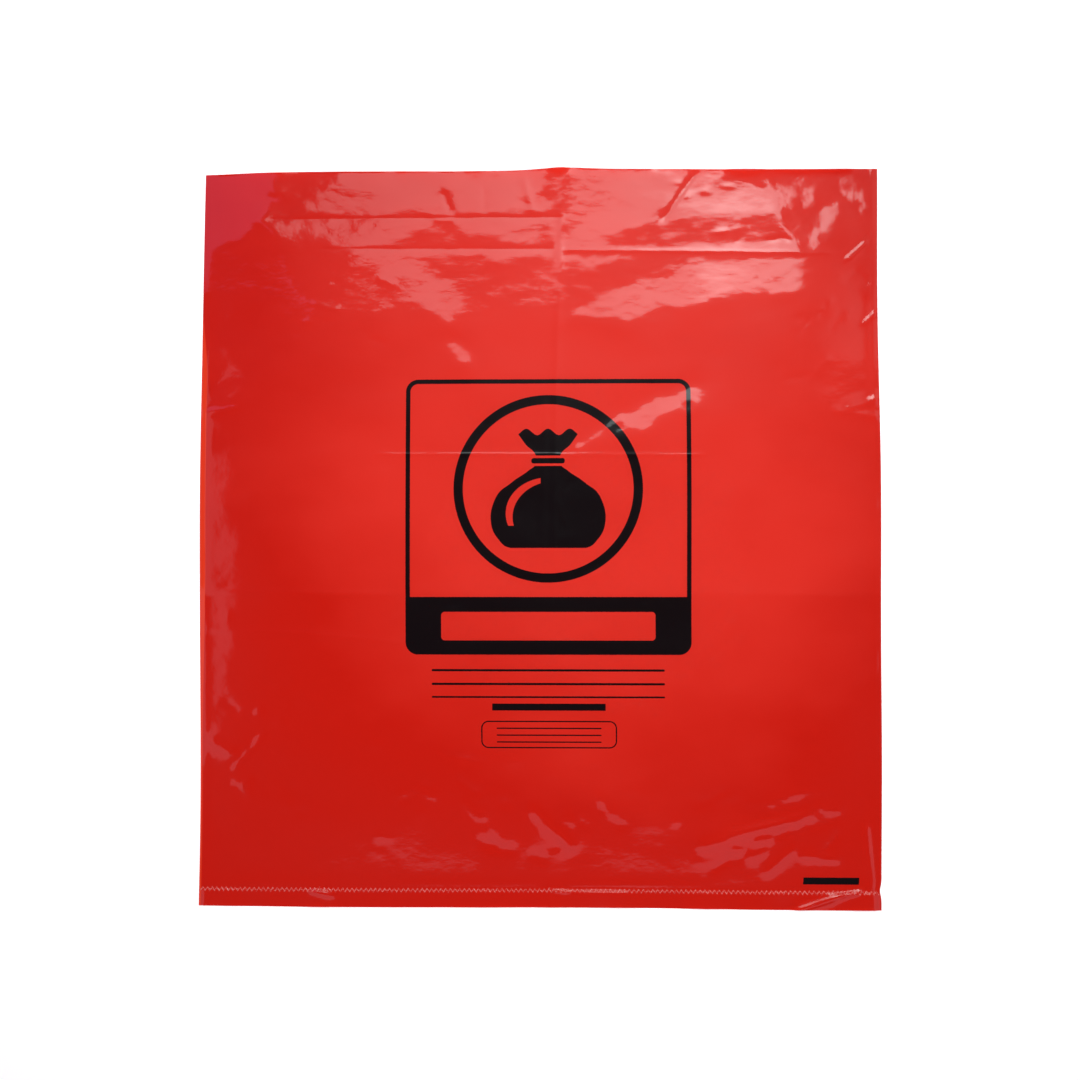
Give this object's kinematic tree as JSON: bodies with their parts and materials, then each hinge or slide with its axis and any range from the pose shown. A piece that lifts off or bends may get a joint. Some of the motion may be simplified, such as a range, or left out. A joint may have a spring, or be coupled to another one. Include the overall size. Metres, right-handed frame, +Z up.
{
  "type": "biohazard waste bag",
  "caption": "Flat open-mouthed bag of thin translucent red film, welded across the bottom, with black panel print, lying with a little air inside; for collecting clinic waste.",
  "frame": {"origin": "on the surface the bag lies on, under the middle of the bag", "axes": "+Z up, +Y along the bag from the welded end to the open mouth, +X across the bag to the right of the print"},
  "size_m": [0.55, 0.6, 0.0142],
  "materials": {
    "red_film": "glossy blown polyethylene film, translucent red, with black print on the upper face"
  },
  "bodies": {
    "root": {"bag_film": "red_film"}
  },
  "joints": []
}
